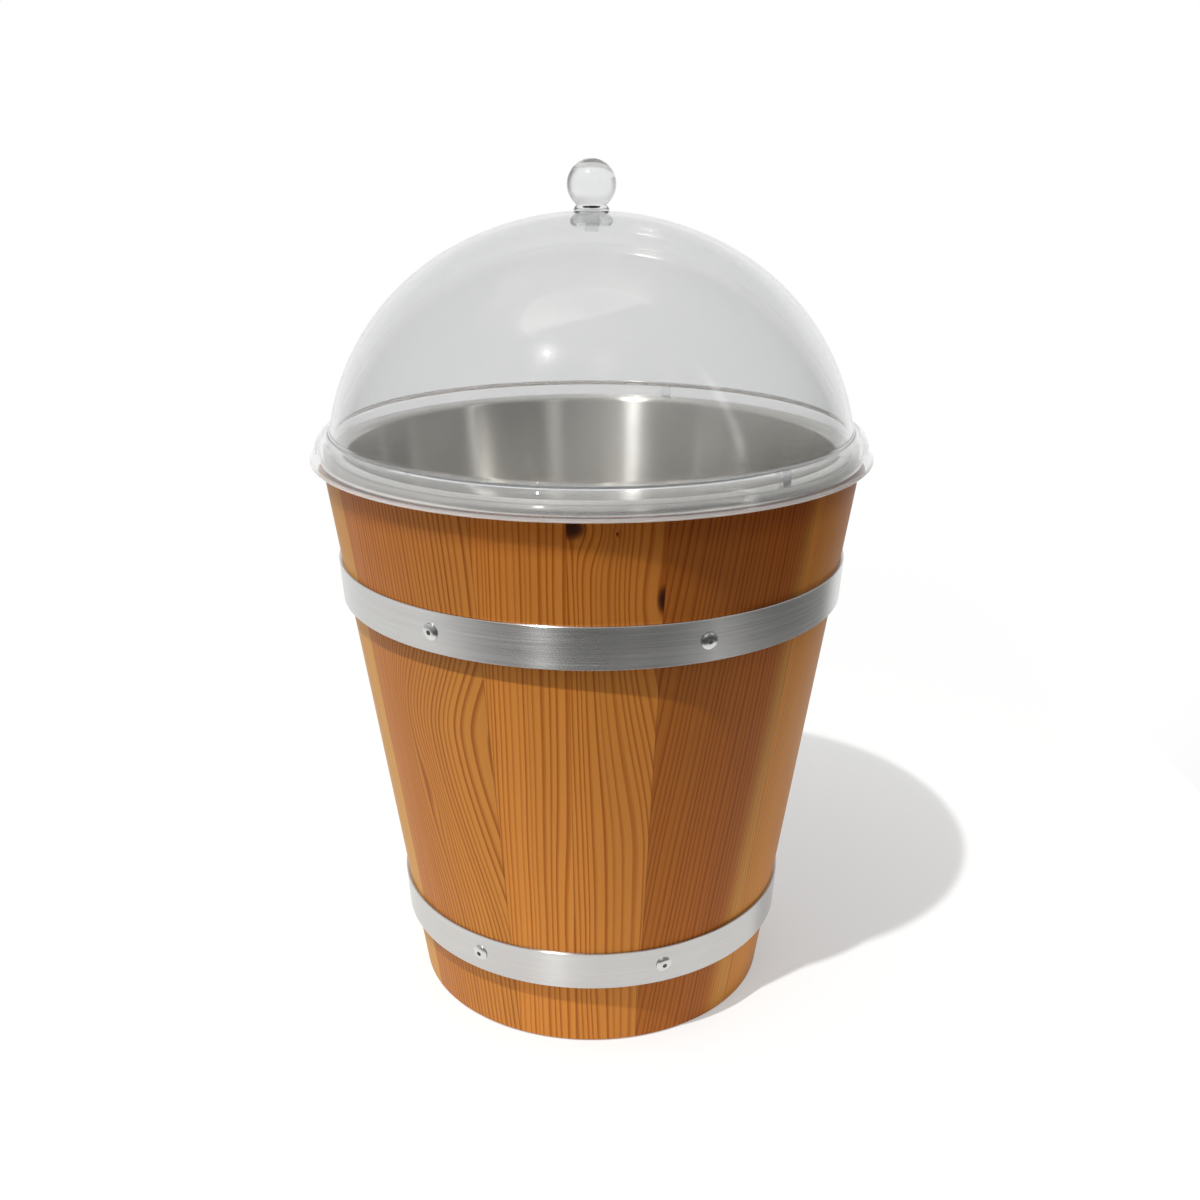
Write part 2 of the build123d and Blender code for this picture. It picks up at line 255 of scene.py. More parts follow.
# Node trees
class Tree:
    """Short calls that add nodes to a material or world and return their output sockets."""

    def __init__(self, owner):
        owner.use_nodes = True
        self.tree = owner.node_tree
        self.tree.nodes.clear()

    def add(self, kind, inputs=None, **settings):
        """A node of a kind, with its settings, and its inputs linked or set by name or number."""
        node = self.tree.nodes.new("ShaderNode" + kind)
        for key, setting in settings.items():
            setattr(node, key, setting)
        for key, given in (inputs or {}).items():
            self.give(node.inputs[key], given)
        return node

    def give(self, socket, given):
        """Link a socket to another, or set its value."""
        if isinstance(given, bpy.types.NodeSocket):
            self.tree.links.new(given, socket)
        else:
            socket.default_value = given

    def maths(self, operation, *given):
        """The result of a Math node."""
        return self.add("Math", dict(enumerate(given)), operation=operation).outputs[0]

    def rest(self, share):
        """1 less a share."""
        return self.maths("SUBTRACT", 1.0, share)

    def squares(self, u, v):
        """The sum of two squares."""
        return self.maths("ADD", self.maths("MULTIPLY", u, u), self.maths("MULTIPLY", v, v))

    def length(self, u, v):
        """The length of a step of u one way and v at right angles to it."""
        return self.maths("SQRT", self.squares(u, v))

    def azimuth(self, xyz):
        """The angle about the axis, from the front, positive towards +X."""
        return self.maths("ARCTAN2", xyz[0], self.maths("MULTIPLY", xyz[1], -1.0))

    def step(self, value, low, high):
        """0 below low, 1 above high, and smooth between them."""
        inputs = {"Value": value, "From Min": low, "From Max": high}
        return self.add("MapRange", inputs, interpolation_type="SMOOTHSTEP").outputs["Result"]

    def vector(self, x, y, z):
        """A vector, or a colour, of three values."""
        return self.add("CombineXYZ", {0: x, 1: y, 2: z}).outputs[0]

    def noise(self, vector, detail=2.0, roughness=0.5):
        """Noise from about -1 to 1, at one feature for each unit of the vector."""
        inputs = {"Vector": vector, "Scale": 1.0, "Detail": detail, "Roughness": roughness}
        fac = self.add("TexNoise", inputs).outputs["Fac"]
        return self.maths("MULTIPLY_ADD", fac, 2.0, -1.0)

    def tinted(self, colour, tint):
        """A colour multiplied by another."""
        return self.mix(1.0, colour, tint, blend="MULTIPLY")

    def mix(self, factor, first, second, blend="MIX"):
        """A mix of two colours."""
        node = self.add("Mix", data_type="RGBA", blend_type=blend)
        self.give(node.inputs["Factor"], factor)
        self.give(node.inputs["A"], first)
        self.give(node.inputs["B"], second)
        return node.outputs["Result"]

    def object_axes(self):
        """x, y and z of the point being shaded, in the part's frame, and the same as one vector."""
        place = self.add("TexCoord").outputs["Object"]
        return self.add("SeparateXYZ", {0: place}).outputs, place

    def finish(self, shader):
        """Send a shader to the material's surface."""
        self.add("OutputMaterial", {"Surface": shader})


def srgb(red, green, blue):
    """A linear colour from display values of 0 to 255."""
    def linear(value):
        value /= 255
        return value / 12.92 if value <= 0.04045 else ((value + 0.055) / 1.055) ** 2.4
    return (linear(red), linear(green), linear(blue), 1.0)


# Wood: growth rings about a pith that lies beside or below each board, in millimetres
HEART = ((195, 125, 52), (156, 80, 14))  # earlywood and latewood
SAP = ((204, 141, 60), (178, 111, 38))
BOARD_EARLY = (206, 146, 78)
KNOT_COLOUR = (50, 22, 8)
# Painted shade: the staves darken towards their tops, most of all just under the lid's rim, where the rim
# shades them
PAINTED_SHADE_UNDER_RIM = ((190.0, 270.0, (0.88, 0.81, 0.76, 1.0)), (266.0, 281.0, (0.74, 0.68, 0.55, 1.0)))
KNOT_PUSH = 0.85
KNOT_EDGE = 2.4
LEAN_MIDDLE = 150.0
SLOW_SIZE = (40.0, 190.0, 45.0)
SLOW_BEND = 2.4
RIPPLE_SIZE = (9.0, 70.0)
RIPPLE_BEND = 0.3
RING_GROUP = 3.0
RING_UNEVENNESS = 0.9
LATE_RISE = (0.42, 0.86)
LATE_FALL = (0.90, 1.0)
LATE_GROUP = 1.7
LATE_STRENGTH = 0.75
LATE_VARIATION = 0.6
LATE_RELIEF = 0.5
LATE_POLISH = 0.08
FIBRE_WIDTH = 0.45
FIBRE_LENGTH = 30.0
FIBRE_TONE = 0.10
FIBRE_RELIEF = 0.25
FIBRE_ROUGHNESS = 0.05
BAND_RINGS = 5.0
BAND_LENGTH = 300.0
BAND_TONE = 0.10
DRIFT_REACH = 26.0
DRIFT_WANDER = 9.0
SAP_BLEND = 7.0
JOINT_LINE = (0.05, 0.45)
JOINT_SHADE = 0.7
WOOD_ROUGHNESS = 0.46
WOOD_SPECULAR = 0.12
WOOD_BUMP = 0.12
WOOD_BUMP_HEIGHT = 0.2 * MM


class Grain:
    """How one board was cut: its pith and rings, its colours, and what bends its grain.

    left and right tint the two edges, sapwood is (edge, slope), swell is (push, heights, reach across),
    eye is (rings, middle, size), and each knot is (place, size, reach of the bend).
    """

    def __init__(self, seed, pith=(60, 30), lean=(0, 0), spacing=2.6, early=HEART[0], late=HEART[1],
                 left=(1, 1, 1), right=(1, 1, 1), sapwood=None, swell=None, eye=None, knots=()):
        self.seed = seed
        self.pith = pith
        self.lean = lean
        self.spacing = spacing
        self.early = early
        self.late = late
        self.left = left
        self.right = right
        self.sapwood = sapwood
        self.swell = swell
        self.eye = eye
        self.knots = knots


def bell(t, across, along, middle, size):
    """1 at the middle of a place on the board, falling to 0 over its size, and the squared distance."""
    u = t.maths("DIVIDE", t.maths("SUBTRACT", across, middle[0]), size[0])
    v = t.maths("DIVIDE", t.maths("SUBTRACT", along, middle[1]), size[1])
    squared = t.squares(u, v)
    return t.maths("EXPONENT", t.maths("MULTIPLY", squared, -0.5)), squared


def bent_grain(t, grain, across, along):
    """The distance across the board that the rings follow, and the darkness of the knots."""
    dark = None
    bent = across
    for place, size, reach in grain.knots:
        push, _ = bell(t, across, along, place, (size[0] * reach, size[1] * reach))
        _, squared = bell(t, across, along, place, size)
        off = t.maths("SUBTRACT", bent, place[0])
        bent = t.maths("SUBTRACT", bent, t.maths("MULTIPLY", t.maths("MULTIPLY", off, push), KNOT_PUSH))
        inside = t.rest(t.step(squared, 0.0, KNOT_EDGE))
        dark = inside if dark is None else t.maths("MAXIMUM", dark, inside)
    if grain.swell is not None:
        amount, (low, middle, high), (left, right) = grain.swell
        rise = t.maths("MULTIPLY", t.step(along, low, middle), t.rest(t.step(along, middle, high)))
        push = t.maths("MULTIPLY", rise, t.step(across, left, right))
        bent = t.maths("MULTIPLY_ADD", push, amount, bent)
    return bent, dark


def pith_distance(t, grain, across, along, into):
    """Distance from the pith, which leans along the board, with the unevenness of growth.

    Here and below, a multiple of the seed takes each board to another part of a noise.
    """
    height = t.maths("SUBTRACT", along, LEAN_MIDDLE)
    pith_across = t.maths("MULTIPLY_ADD", height, grain.lean[0], grain.pith[0])
    pith_into = t.maths("MULTIPLY_ADD", height, grain.lean[1], grain.pith[1])
    distance = t.length(t.maths("SUBTRACT", across, pith_across), t.maths("SUBTRACT", into, pith_into))
    slow = t.vector(t.maths("DIVIDE", across, SLOW_SIZE[0]), t.maths("DIVIDE", along, SLOW_SIZE[1]),
                    t.maths("ADD", t.maths("DIVIDE", into, SLOW_SIZE[2]), grain.seed * 7.3))
    distance = t.maths("MULTIPLY_ADD", t.noise(slow, detail=1.0), SLOW_BEND, distance)
    ripple = t.vector(t.maths("DIVIDE", across, RIPPLE_SIZE[0]), t.maths("DIVIDE", along, RIPPLE_SIZE[1]),
                      grain.seed * 3.1)
    distance = t.maths("MULTIPLY_ADD", t.noise(ripple, detail=1.0), RIPPLE_BEND, distance)
    if grain.eye is not None:
        rings, middle, size = grain.eye
        bump, _ = bell(t, across, along, middle, size)
        distance = t.maths("MULTIPLY_ADD", bump, rings * grain.spacing, distance)
    return distance


def wood(name, grain, axes, half_width=None):
    """A wood material; axes(tree) gives the distance across the board, along it and into it."""
    material = bpy.data.materials.new(name)
    t = Tree(material)
    across, along, into = axes(t)
    bent, knot_dark = bent_grain(t, grain, across, along)
    distance = pith_distance(t, grain, bent, along, into)

    # Rings of uneven width: pale earlywood darkens to a thin latewood line
    ring_place = t.maths("DIVIDE", distance, grain.spacing)
    uneven = t.noise(t.vector(t.maths("DIVIDE", ring_place, RING_GROUP), grain.seed * 1.7, 0.0), detail=1.0)
    ring_place = t.maths("MULTIPLY_ADD", uneven, RING_UNEVENNESS, ring_place)
    phase = t.maths("FRACT", ring_place)
    late = t.maths("MULTIPLY", t.step(phase, *LATE_RISE), t.rest(t.step(phase, *LATE_FALL)))
    groups = t.vector(t.maths("DIVIDE", ring_place, LATE_GROUP), grain.seed * 2.9, 4.0)
    strength = t.noise(groups, detail=1.0)
    late = t.maths("MULTIPLY", late, t.maths("MULTIPLY_ADD", strength, LATE_VARIATION, LATE_STRENGTH))

    # Fine fibres, slow changes of tone and the drift of colour across the board
    fibre = t.noise(t.vector(t.maths("DIVIDE", bent, FIBRE_WIDTH), t.maths("DIVIDE", along, FIBRE_LENGTH),
                             t.maths("DIVIDE", into, FIBRE_WIDTH)), detail=3.0, roughness=0.6)
    band = t.noise(t.vector(t.maths("DIVIDE", ring_place, BAND_RINGS), grain.seed * 5.3,
                            t.maths("DIVIDE", along, BAND_LENGTH)), detail=2.0)
    colour = t.mix(late, srgb(*grain.early), srgb(*grain.late))
    drift = t.step(t.maths("MULTIPLY_ADD", band, DRIFT_WANDER, across), -DRIFT_REACH, DRIFT_REACH)
    colour = t.tinted(colour, t.mix(drift, (*grain.left, 1.0), (*grain.right, 1.0)))
    if grain.sapwood is not None:
        pale = t.mix(late, srgb(*SAP[0]), srgb(*SAP[1]))
        limit, slope = grain.sapwood
        beyond = t.maths("SUBTRACT", across, t.maths("MULTIPLY_ADD", along, slope, limit))
        colour = t.mix(t.step(beyond, -SAP_BLEND, SAP_BLEND), colour, pale)
    # Painted shade under the lid's rim: the wood's colour darkens towards the top of the staves
    for low, high, shade in PAINTED_SHADE_UNDER_RIM:
        colour = t.mix(t.step(along, low, high), colour, t.tinted(colour, shade))
    tone = t.maths("MULTIPLY_ADD", fibre, FIBRE_TONE, 1.0)
    tone = t.maths("ADD", tone, t.maths("MULTIPLY", band, BAND_TONE))
    if half_width is not None:
        joint = t.maths("SUBTRACT", half_width(t), t.maths("ABSOLUTE", across))
        open_wood = t.maths("MULTIPLY_ADD", t.step(joint, *JOINT_LINE), 1 - JOINT_SHADE, JOINT_SHADE)
        tone = t.maths("MULTIPLY", tone, open_wood)
    colour = t.tinted(colour, t.vector(tone, tone, tone))
    if knot_dark is not None:
        colour = t.mix(knot_dark, colour, srgb(*KNOT_COLOUR))

    relief = t.maths("ADD", t.maths("MULTIPLY", late, LATE_RELIEF), t.maths("MULTIPLY", fibre, FIBRE_RELIEF))
    bump = t.add("Bump", {"Strength": WOOD_BUMP, "Distance": WOOD_BUMP_HEIGHT, "Height": relief})
    rough = t.maths("MULTIPLY_ADD", fibre, FIBRE_ROUGHNESS, WOOD_ROUGHNESS)
    rough = t.maths("MULTIPLY_ADD", late, -LATE_POLISH, rough)
    shader = t.add("BsdfPrincipled", {"Base Color": colour, "Roughness": rough,
                                      "Specular IOR Level": WOOD_SPECULAR, "Normal": bump.outputs[0]})
    t.finish(shader.outputs[0])
    return material


def stave_span(node):
    """Middle angle and half the angle of a stave, from its CAD mesh."""
    places = np.array([v.co for v in node.data.vertices])
    centre = places.mean(axis=0)
    middle = math.atan2(centre[0], -centre[1])
    angles = np.arctan2(places[:, 0], -places[:, 1]) - middle
    angles = (angles + math.pi) % FULL_TURN - math.pi
    return middle + (angles.min() + angles.max()) / 2, (angles.max() - angles.min()) / 2


def stave_wood(number, grain):
    """The wood of one stave: its grain runs along the stave's own middle line."""
    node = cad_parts[f"stave_{number:02d}"]
    middle, half_angle = stave_span(node)

    def axes(t):
        _, place = t.object_axes()
        to_front = t.add("VectorRotate", {"Vector": place, "Angle": -middle}, rotation_type="Z_AXIS")
        xyz = t.add("SeparateXYZ", {0: to_front.outputs[0]}).outputs
        radius = t.length(xyz[0], xyz[1])
        across = t.maths("MULTIPLY", t.maths("MULTIPLY", t.azimuth(xyz), radius), 1 / MM)
        along = t.maths("MULTIPLY", xyz[2], 1 / MM)
        surface = t.maths("MULTIPLY_ADD", xyz[2], STAVE_TAPER, BASE_RADIUS)
        into = t.maths("MULTIPLY", t.maths("SUBTRACT", surface, radius), 1 / MM)
        return across, along, into

    def half_width(t):
        xyz, _ = t.object_axes()
        return t.maths("MULTIPLY", t.length(xyz[0], xyz[1]), half_angle / MM)

    paint(node, wood(f"stave_{number:02d}_wood", grain, axes, half_width))


def paint(piece, material):
    """Give a piece one material."""
    piece.data.materials.clear()
    piece.data.materials.append(material)


# How each stave was cut; the others are cut at random from a fixed seed
STAVE_GRAIN = {
    1: Grain(1, pith=(62, 34), spacing=2.1, left=(0.88, 0.86, 0.83), right=(0.92, 0.96, 0.97),
             swell=(18, (50, 172, 232), (-38, -6)), late=(148, 72, 10), eye=(2.0, (12, 139), (4, 22))),
    2: Grain(2, pith=(34, 20), lean=(0.03, 0), spacing=2.3, right=(1.08, 1.1, 1.14)),
    3: Grain(3, pith=(30, 22), lean=(-0.03, 0), spacing=2.1, swell=(-12, (-200, 110, 250), (-16, 22)),
             knots=(((-19, 281.5), (4.5, 4), 2.2), ((20.5, 248), (2.4, 5.5), 3.2),
                    ((-0.4, 279), (0.4, 0.6), 2.5))),
    4: Grain(4, pith=(-75, 40), lean=(0.08, 0), spacing=2.3, sapwood=(15, 0.08), left=(0.73, 0.61, 0.43),
             right=(0.75, 0.58, 0.32)),
    5: Grain(5, pith=(90, 30), spacing=2.8, early=SAP[0], late=SAP[1], left=(1.04, 0.92, 0.68),
             right=(1.04, 0.92, 0.68)),
    13: Grain(13, pith=(-80, 30), spacing=2.8, early=SAP[0], late=SAP[1], left=(0.92, 1.0, 0.86),
              right=(0.92, 1.0, 0.86)),
}


def random_grain(number):
    """A plausible cut for a stave that isn't described above."""
    draw = random.Random(number)
    side = draw.choice((-1, 1))
    shade = draw.uniform(0.9, 1.06)
    return Grain(number, pith=(side * draw.uniform(0, 70), draw.uniform(18, 34)),
                 lean=(draw.uniform(-0.08, 0.08), draw.uniform(-0.05, 0.05)), spacing=draw.uniform(1.9, 2.7),
                 left=(shade, shade * draw.uniform(0.93, 1.0), shade * 0.96),
                 right=(1.0, draw.uniform(0.92, 1.0), 0.95))


for number in range(1, STAVE_COUNT + 1):
    stave_wood(number, STAVE_GRAIN.get(number) or random_grain(number))


def board_axes(t):
    """The bottom boards run from side to side."""
    xyz, _ = t.object_axes()
    return [t.maths("MULTIPLY", xyz[i], 1 / MM) for i in (1, 0, 2)]


for number in (1, 2, 3):
    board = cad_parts[f"bottom_board_{number}"]
    board_grain = Grain(20 + number, pith=(50 - 35 * number, 60), spacing=3.0, early=BOARD_EARLY)
    paint(board, wood(f"bottom_board_{number}_wood", board_grain, board_axes))


# Metals: brushed round the axis
LINE_RADIUS = 120 * MM
CLOUD_SIZE = 50 * MM
DULL_FADE = 10 * MM
DULL_ROUGHNESS = 0.45
CLOUD_ROUGHNESS = 0.02
SCRATCH_DEPTH = 0.05 * MM
ACROSS_LINES = 0.25


def brushed_metal(name, colour, roughness, anisotropy, line_height, line_length, contrast, dull_below=0.0):
    """Metal with fine lines that run round the axis, and duller below a height."""
    material = bpy.data.materials.new(name)
    t = Tree(material)
    xyz, _ = t.object_axes()
    radius = t.length(xyz[0], xyz[1])
    along = t.maths("DIVIDE", t.maths("MULTIPLY", t.azimuth(xyz), LINE_RADIUS), line_length)
    lines = t.vector(along, t.maths("DIVIDE", radius, line_height), t.maths("DIVIDE", xyz[2], line_height))
    scratch = t.noise(lines, detail=3.0, roughness=0.65)
    cloud = t.noise(t.vector(*[t.maths("DIVIDE", value, CLOUD_SIZE) for value in xyz]), detail=2.0)
    tone = t.maths("ADD", 1.0, t.maths("ADD", t.maths("MULTIPLY", scratch, contrast),
                                       t.maths("MULTIPLY", cloud, contrast / 3)))
    base = t.tinted((*colour, 1.0), t.vector(tone, tone, tone))
    rough = t.maths("MULTIPLY_ADD", cloud, CLOUD_ROUGHNESS, roughness)
    rough = t.maths("MULTIPLY_ADD", scratch, contrast / 3, rough)
    dull = t.rest(t.step(xyz[2], dull_below, dull_below + DULL_FADE))
    rough = t.maths("MULTIPLY_ADD", dull, DULL_ROUGHNESS, rough)
    bump = t.add("Bump", {"Strength": contrast / 8, "Distance": SCRATCH_DEPTH, "Height": scratch})
    tangent = t.add("Tangent", direction_type="RADIAL", axis="Z")
    shader = t.add("BsdfPrincipled", {"Base Color": base, "Metallic": 1.0, "Roughness": rough,
                                      "Anisotropic": anisotropy, "Anisotropic Rotation": ACROSS_LINES,
                                      "Normal": bump.outputs[0], "Tangent": tangent.outputs[0]})
    t.finish(shader.outputs[0])
    return material


aluminium = brushed_metal("brushed_aluminium", (0.59, 0.585, 0.57), 0.24, 1.0, 0.6 * MM, 60 * MM, 0.2)
steel = brushed_metal("brushed_steel", (0.71, 0.69, 0.65), 0.20, 1.0, 0.5 * MM, 80 * MM, 0.03,
                      dull_below=INSERT_BASE + INSERT_CORNER)
rivet_metal = brushed_metal("rivet_metal", (0.66, 0.66, 0.65), 0.26, 0.0, 1.0 * MM, 4 * MM, 0.05)
for name in ("upper_hoop", "lower_hoop"):
    paint(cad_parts[name], aluminium)


# Clear acrylic: lamps shine through the dome but hardly through the rim; its milky edge carries a painted
# reflection of the wood
ACRYLIC_COLOUR = (0.83, 0.835, 0.835, 1.0)
LIP_MILK_AND_PAINTED_WOOD_TINT = (0.78, 0.71, 0.67, 1.0)
LUG_COLOUR = (0.98, 0.98, 0.98, 1.0)
ACRYLIC_IOR = 1.49
HAZE_SIZE = 30 * MM
HAZE_ROUGHNESS = 0.012
HAZE_VARIATION = 0.008
GLOW_WEIGHT = 0.03
GLOW_ROUGHNESS = 0.2
LIP_CLEARNESS = 0.5
RIM_CLEARNESS = 0.93
LIP_EDGE = (SKIRT_BASE + 0.2 * MM, SKIRT_BASE + 1.2 * MM)
LIP_LIT = (SKIRT_BASE + 1.3 * MM, SKIRT_BASE + 2.8 * MM)
DOME_EDGE = (DOME_BASE - 1 * MM, DOME_BASE + 1 * MM)
RIM_LIGHT = 0.12
LIP_LIGHT = 0.90
DOME_LIGHT = 0.95
SAME_SHEET = 1.4 * LID_WALL
LUG_MARGIN = 0.1 * MM


def clear_acrylic():
    """The lid's plastic, which is clear in the dome and the lugs, and milkier down to the lip, whose pink
    tint is a painted reflection of the wood.
    """
    material = bpy.data.materials.new("clear_acrylic")
    t = Tree(material)
    xyz, place = t.object_axes()
    haze = t.noise(t.add("VectorMath", {0: place, "Scale": 1 / HAZE_SIZE}, operation="SCALE").outputs[0])
    rough = t.maths("MULTIPLY_ADD", haze, HAZE_VARIATION, HAZE_ROUGHNESS)
    dome = t.step(xyz[2], *DOME_EDGE)
    above_lip = t.step(xyz[2], *LIP_EDGE)
    # Painted reflection: the lip's milky edge is tinted pink as if it showed the wood below
    colour = t.mix(above_lip, LIP_MILK_AND_PAINTED_WOOD_TINT, ACRYLIC_COLOUR)
    through = t.maths("MULTIPLY_ADD", above_lip, RIM_CLEARNESS - LIP_CLEARNESS, LIP_CLEARNESS)
    through = t.maths("MULTIPLY_ADD", dome, 1 - RIM_CLEARNESS, through)
    inside_rim = t.maths("LESS_THAN", t.length(xyz[0], xyz[1]), LUG_RADIUS + LUG_WIDTH + LUG_MARGIN)
    below_sheet = t.maths("LESS_THAN", xyz[2], DOME_BASE - LUG_OUTER_DROP - LUG_MARGIN)
    seat_lug = t.maths("MULTIPLY", inside_rim, below_sheet)
    colour = t.mix(seat_lug, colour, LUG_COLOUR)
    through = t.maths("MAXIMUM", through, seat_lug)
    glass = t.add("BsdfPrincipled", {"Base Color": colour, "Roughness": rough, "IOR": ACRYLIC_IOR,
                                     "Transmission Weight": through, "Coat Weight": GLOW_WEIGHT,
                                     "Coat Roughness": GLOW_ROUGHNESS})

    # Light from a lamp passes straight through, but not to the far side of the same sheet
    path = t.add("LightPath").outputs
    lip = t.rest(t.step(xyz[2], *LIP_LIT))
    clear = t.maths("MULTIPLY_ADD", dome, DOME_LIGHT - RIM_LIGHT, RIM_LIGHT)
    clear = t.maths("MULTIPLY_ADD", lip, LIP_LIGHT - RIM_LIGHT, clear)
    same_sheet = t.maths("MULTIPLY", dome, t.maths("LESS_THAN", path["Ray Length"], SAME_SHEET))
    clear = t.maths("MULTIPLY", clear, t.rest(same_sheet))
    open_air = t.add("BsdfTransparent", {"Color": t.vector(clear, clear, clear)})
    shader = t.add("MixShader", {0: path["Is Shadow Ray"], 1: glass.outputs[0], 2: open_air.outputs[0]})
    t.finish(shader.outputs[0])
    return material


acrylic = clear_acrylic()


def dress(piece, node, body, material):
    """Finish a piece that stands for a CAD node."""
    paint(piece, material)
    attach(piece, body)
    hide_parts(node)


# Steel insert: both sides of the sheet, and the hollow roll at its rim
hem_middle = RIM_RADIUS - HEM_RADIUS


def insert_side(depth):
    """One side of the sheet, from the axis out to the hem."""
    def radius(z):
        return outer_radius(z) - STAVE_THICKNESS - INSERT_CLEARANCE - depth * math.hypot(1, STAVE_TAPER)
    floor = INSERT_BASE + depth
    flange = RIM_TOP - INSERT_WALL + depth
    corners = [(0, floor), (radius(floor), floor), (radius(flange), flange), (hem_middle, flange)]
    return rounded(corners, (INSERT_CORNER - depth, RIM_BEND + depth), steps=8)


hem_centre = (hem_middle, RIM_TOP - HEM_RADIUS)
hem_outside = arc(hem_centre, HEM_RADIUS, math.pi / 2, -math.pi / 2, 16)
hem_inside = arc(hem_centre, HEM_RADIUS - INSERT_WALL, -math.pi / 2, math.pi / 2, 12)
hem_end = hem_middle - HEM_RETURN
hem_base = RIM_TOP - 2 * HEM_RADIUS
hem = hem_outside + [(hem_end, hem_base), (hem_end, hem_base + INSERT_WALL)] + hem_inside
insert_outline = insert_side(INSERT_WALL)[:-1] + hem + insert_side(0)[-2::-1]
pail = finished_mesh("steel_insert_pail", turned(insert_outline[::-1], PAIL_SEGMENTS, closed=False))
dress(pail, "steel_insert", "insert", steel)

# Clear dome
dome_base = (DOME_RADIUS, DOME_BASE)
crown_centre = (0.0, APEX - CROWN_RADIUS)
crown_up = Vector((math.sin(CROWN_ANGLE), math.cos(CROWN_ANGLE)))
crown_end = Vector(crown_centre) + crown_up * CROWN_RADIUS
to_base = Vector(dome_base) - crown_end
side_radius = -to_base.length_squared / (2 * to_base.dot(crown_up))
side_centre = crown_end - crown_up * side_radius
side_end = math.atan2(dome_base[1] - side_centre.y, dome_base[0] - side_centre.x)

hole = STUD_RADIUS + STUD_CLEARANCE
turn = math.pi / 2 - CROWN_ANGLE
crown = arc(crown_centre, CROWN_RADIUS, math.acos(hole / CROWN_RADIUS), turn, 18)
side = arc(side_centre, side_radius, turn, side_end, 32)
shoulder = sagitta_arc(dome_base, (SHOULDER_RADIUS, SKIRT_TOP), SHOULDER_BULGE, 12)
skirt = [(SKIRT_RADIUS, SKIRT_BASE)]
inside = other_side(crown[:-1] + side[:-1] + shoulder + skirt, LID_WALL)
inside[0] = (hole, inside[0][1])
dome_foot = rounded([side[-2], dome_base, shoulder[3]], (DOME_FOOT_ROUND,), steps=10)
outside = crown[:-1] + side[:-2] + dome_foot + shoulder[4:] + skirt
skirt_end = rounded([outside[-2], outside[-1], inside[-1], inside[-2]], (SKIRT_ROUND, SKIRT_ROUND))
sheet = turned((outside[:-1] + skirt_end[1:-1] + inside[-2::-1])[::-1], DOME_SEGMENTS)


def lug(angle):
    """One lug under the shoulder, between the insert's rim and the sheet."""
    outer = LUG_RADIUS + LUG_WIDTH
    seat = RIM_TOP + SEAT_CLEARANCE
    section = [(LUG_RADIUS, seat), (outer, seat), (outer, DOME_BASE - LUG_OUTER_DROP),
               (LUG_RADIUS, DOME_BASE - LUG_INNER_DROP)]
    half = LUG_LENGTH / LUG_RADIUS / 2
    vertices = []
    for azimuth in (math.radians(angle) - half, math.radians(angle) + half):
        vertices += [(radius * math.sin(azimuth), -radius * math.cos(azimuth), z) for radius, z in section]
    return vertices, [(3, 2, 1, 0), (4, 5, 6, 7), (0, 1, 5, 4), (1, 2, 6, 5), (2, 3, 7, 6), (3, 0, 4, 7)]


dome = finished_mesh("lid_dome_clear", joined([sheet, *map(lug, LUG_ANGLES)]))
dress(dome, "lid_dome", "lid", acrylic)

# Knob on its stud, and the disc that holds it
knob_height = KNOB_TOP - KNOB_RADIUS
neck_drop = math.sqrt(KNOB_RADIUS**2 - NECK_RADIUS**2)
ball_end = math.atan2(-neck_drop, NECK_RADIUS)
ball = arc((0, knob_height), KNOB_RADIUS, math.pi / 2, ball_end, 30)
foot = [(FOOT_RADIUS, APEX + FOOT_HEIGHT), (FOOT_RADIUS, APEX), (STUD_RADIUS, APEX)]
stud = [(STUD_RADIUS, STUD_BASE), (0, STUD_BASE)]
knob_outline = (ball + foot + stud)[::-1]
knob = finished_mesh("lid_knob_clear", turned(knob_outline, KNOB_SEGMENTS, closed=False))
dress(knob, "lid_knob", "lid", acrylic)
disc = [
    (hole, RETAINER_BASE),
    (RETAINER_RADIUS - RETAINER_CHAMFER, RETAINER_BASE),
    (RETAINER_RADIUS, RETAINER_BASE + RETAINER_CHAMFER),
    (RETAINER_RADIUS, RETAINER_TOP),
    (hole, RETAINER_TOP),
]
retainer = finished_mesh("knob_retainer_clear", turned(disc, KNOB_SEGMENTS))
dress(retainer, "knob_retainer", "lid", acrylic)


# Rivets: domed heads with the mandrel's hole in the middle
def rivet_places(node):
    """Top of each rivet's head, its outward axis and how far it reaches back, from the CAD mesh."""
    mesh = node.data
    group = list(range(len(mesh.vertices)))

    def root(i):
        while group[i] != i:
            group[i] = group[group[i]]
            i = group[i]
        return i

    keys = {}
    for v in mesh.vertices:
        same = keys.setdefault(tuple(round(c, 6) for c in v.co), v.index)
        group[root(v.index)] = root(same)
    for edge in mesh.edges:
        group[root(edge.vertices[0])] = root(edge.vertices[1])
    islands = {}
    for v in mesh.vertices:
        islands.setdefault(root(v.index), []).append(v.co)
    for points in islands.values():
        points = np.array(points)
        middle = points.mean(axis=0)
        axis = np.linalg.svd(points - middle)[2][0]
        axis *= math.copysign(1, axis[0] * middle[0] + axis[1] * middle[1])
        heights = (points - middle) @ axis
        yield Vector(middle + axis * heights.max()), Vector(axis), heights.min() - heights.max()


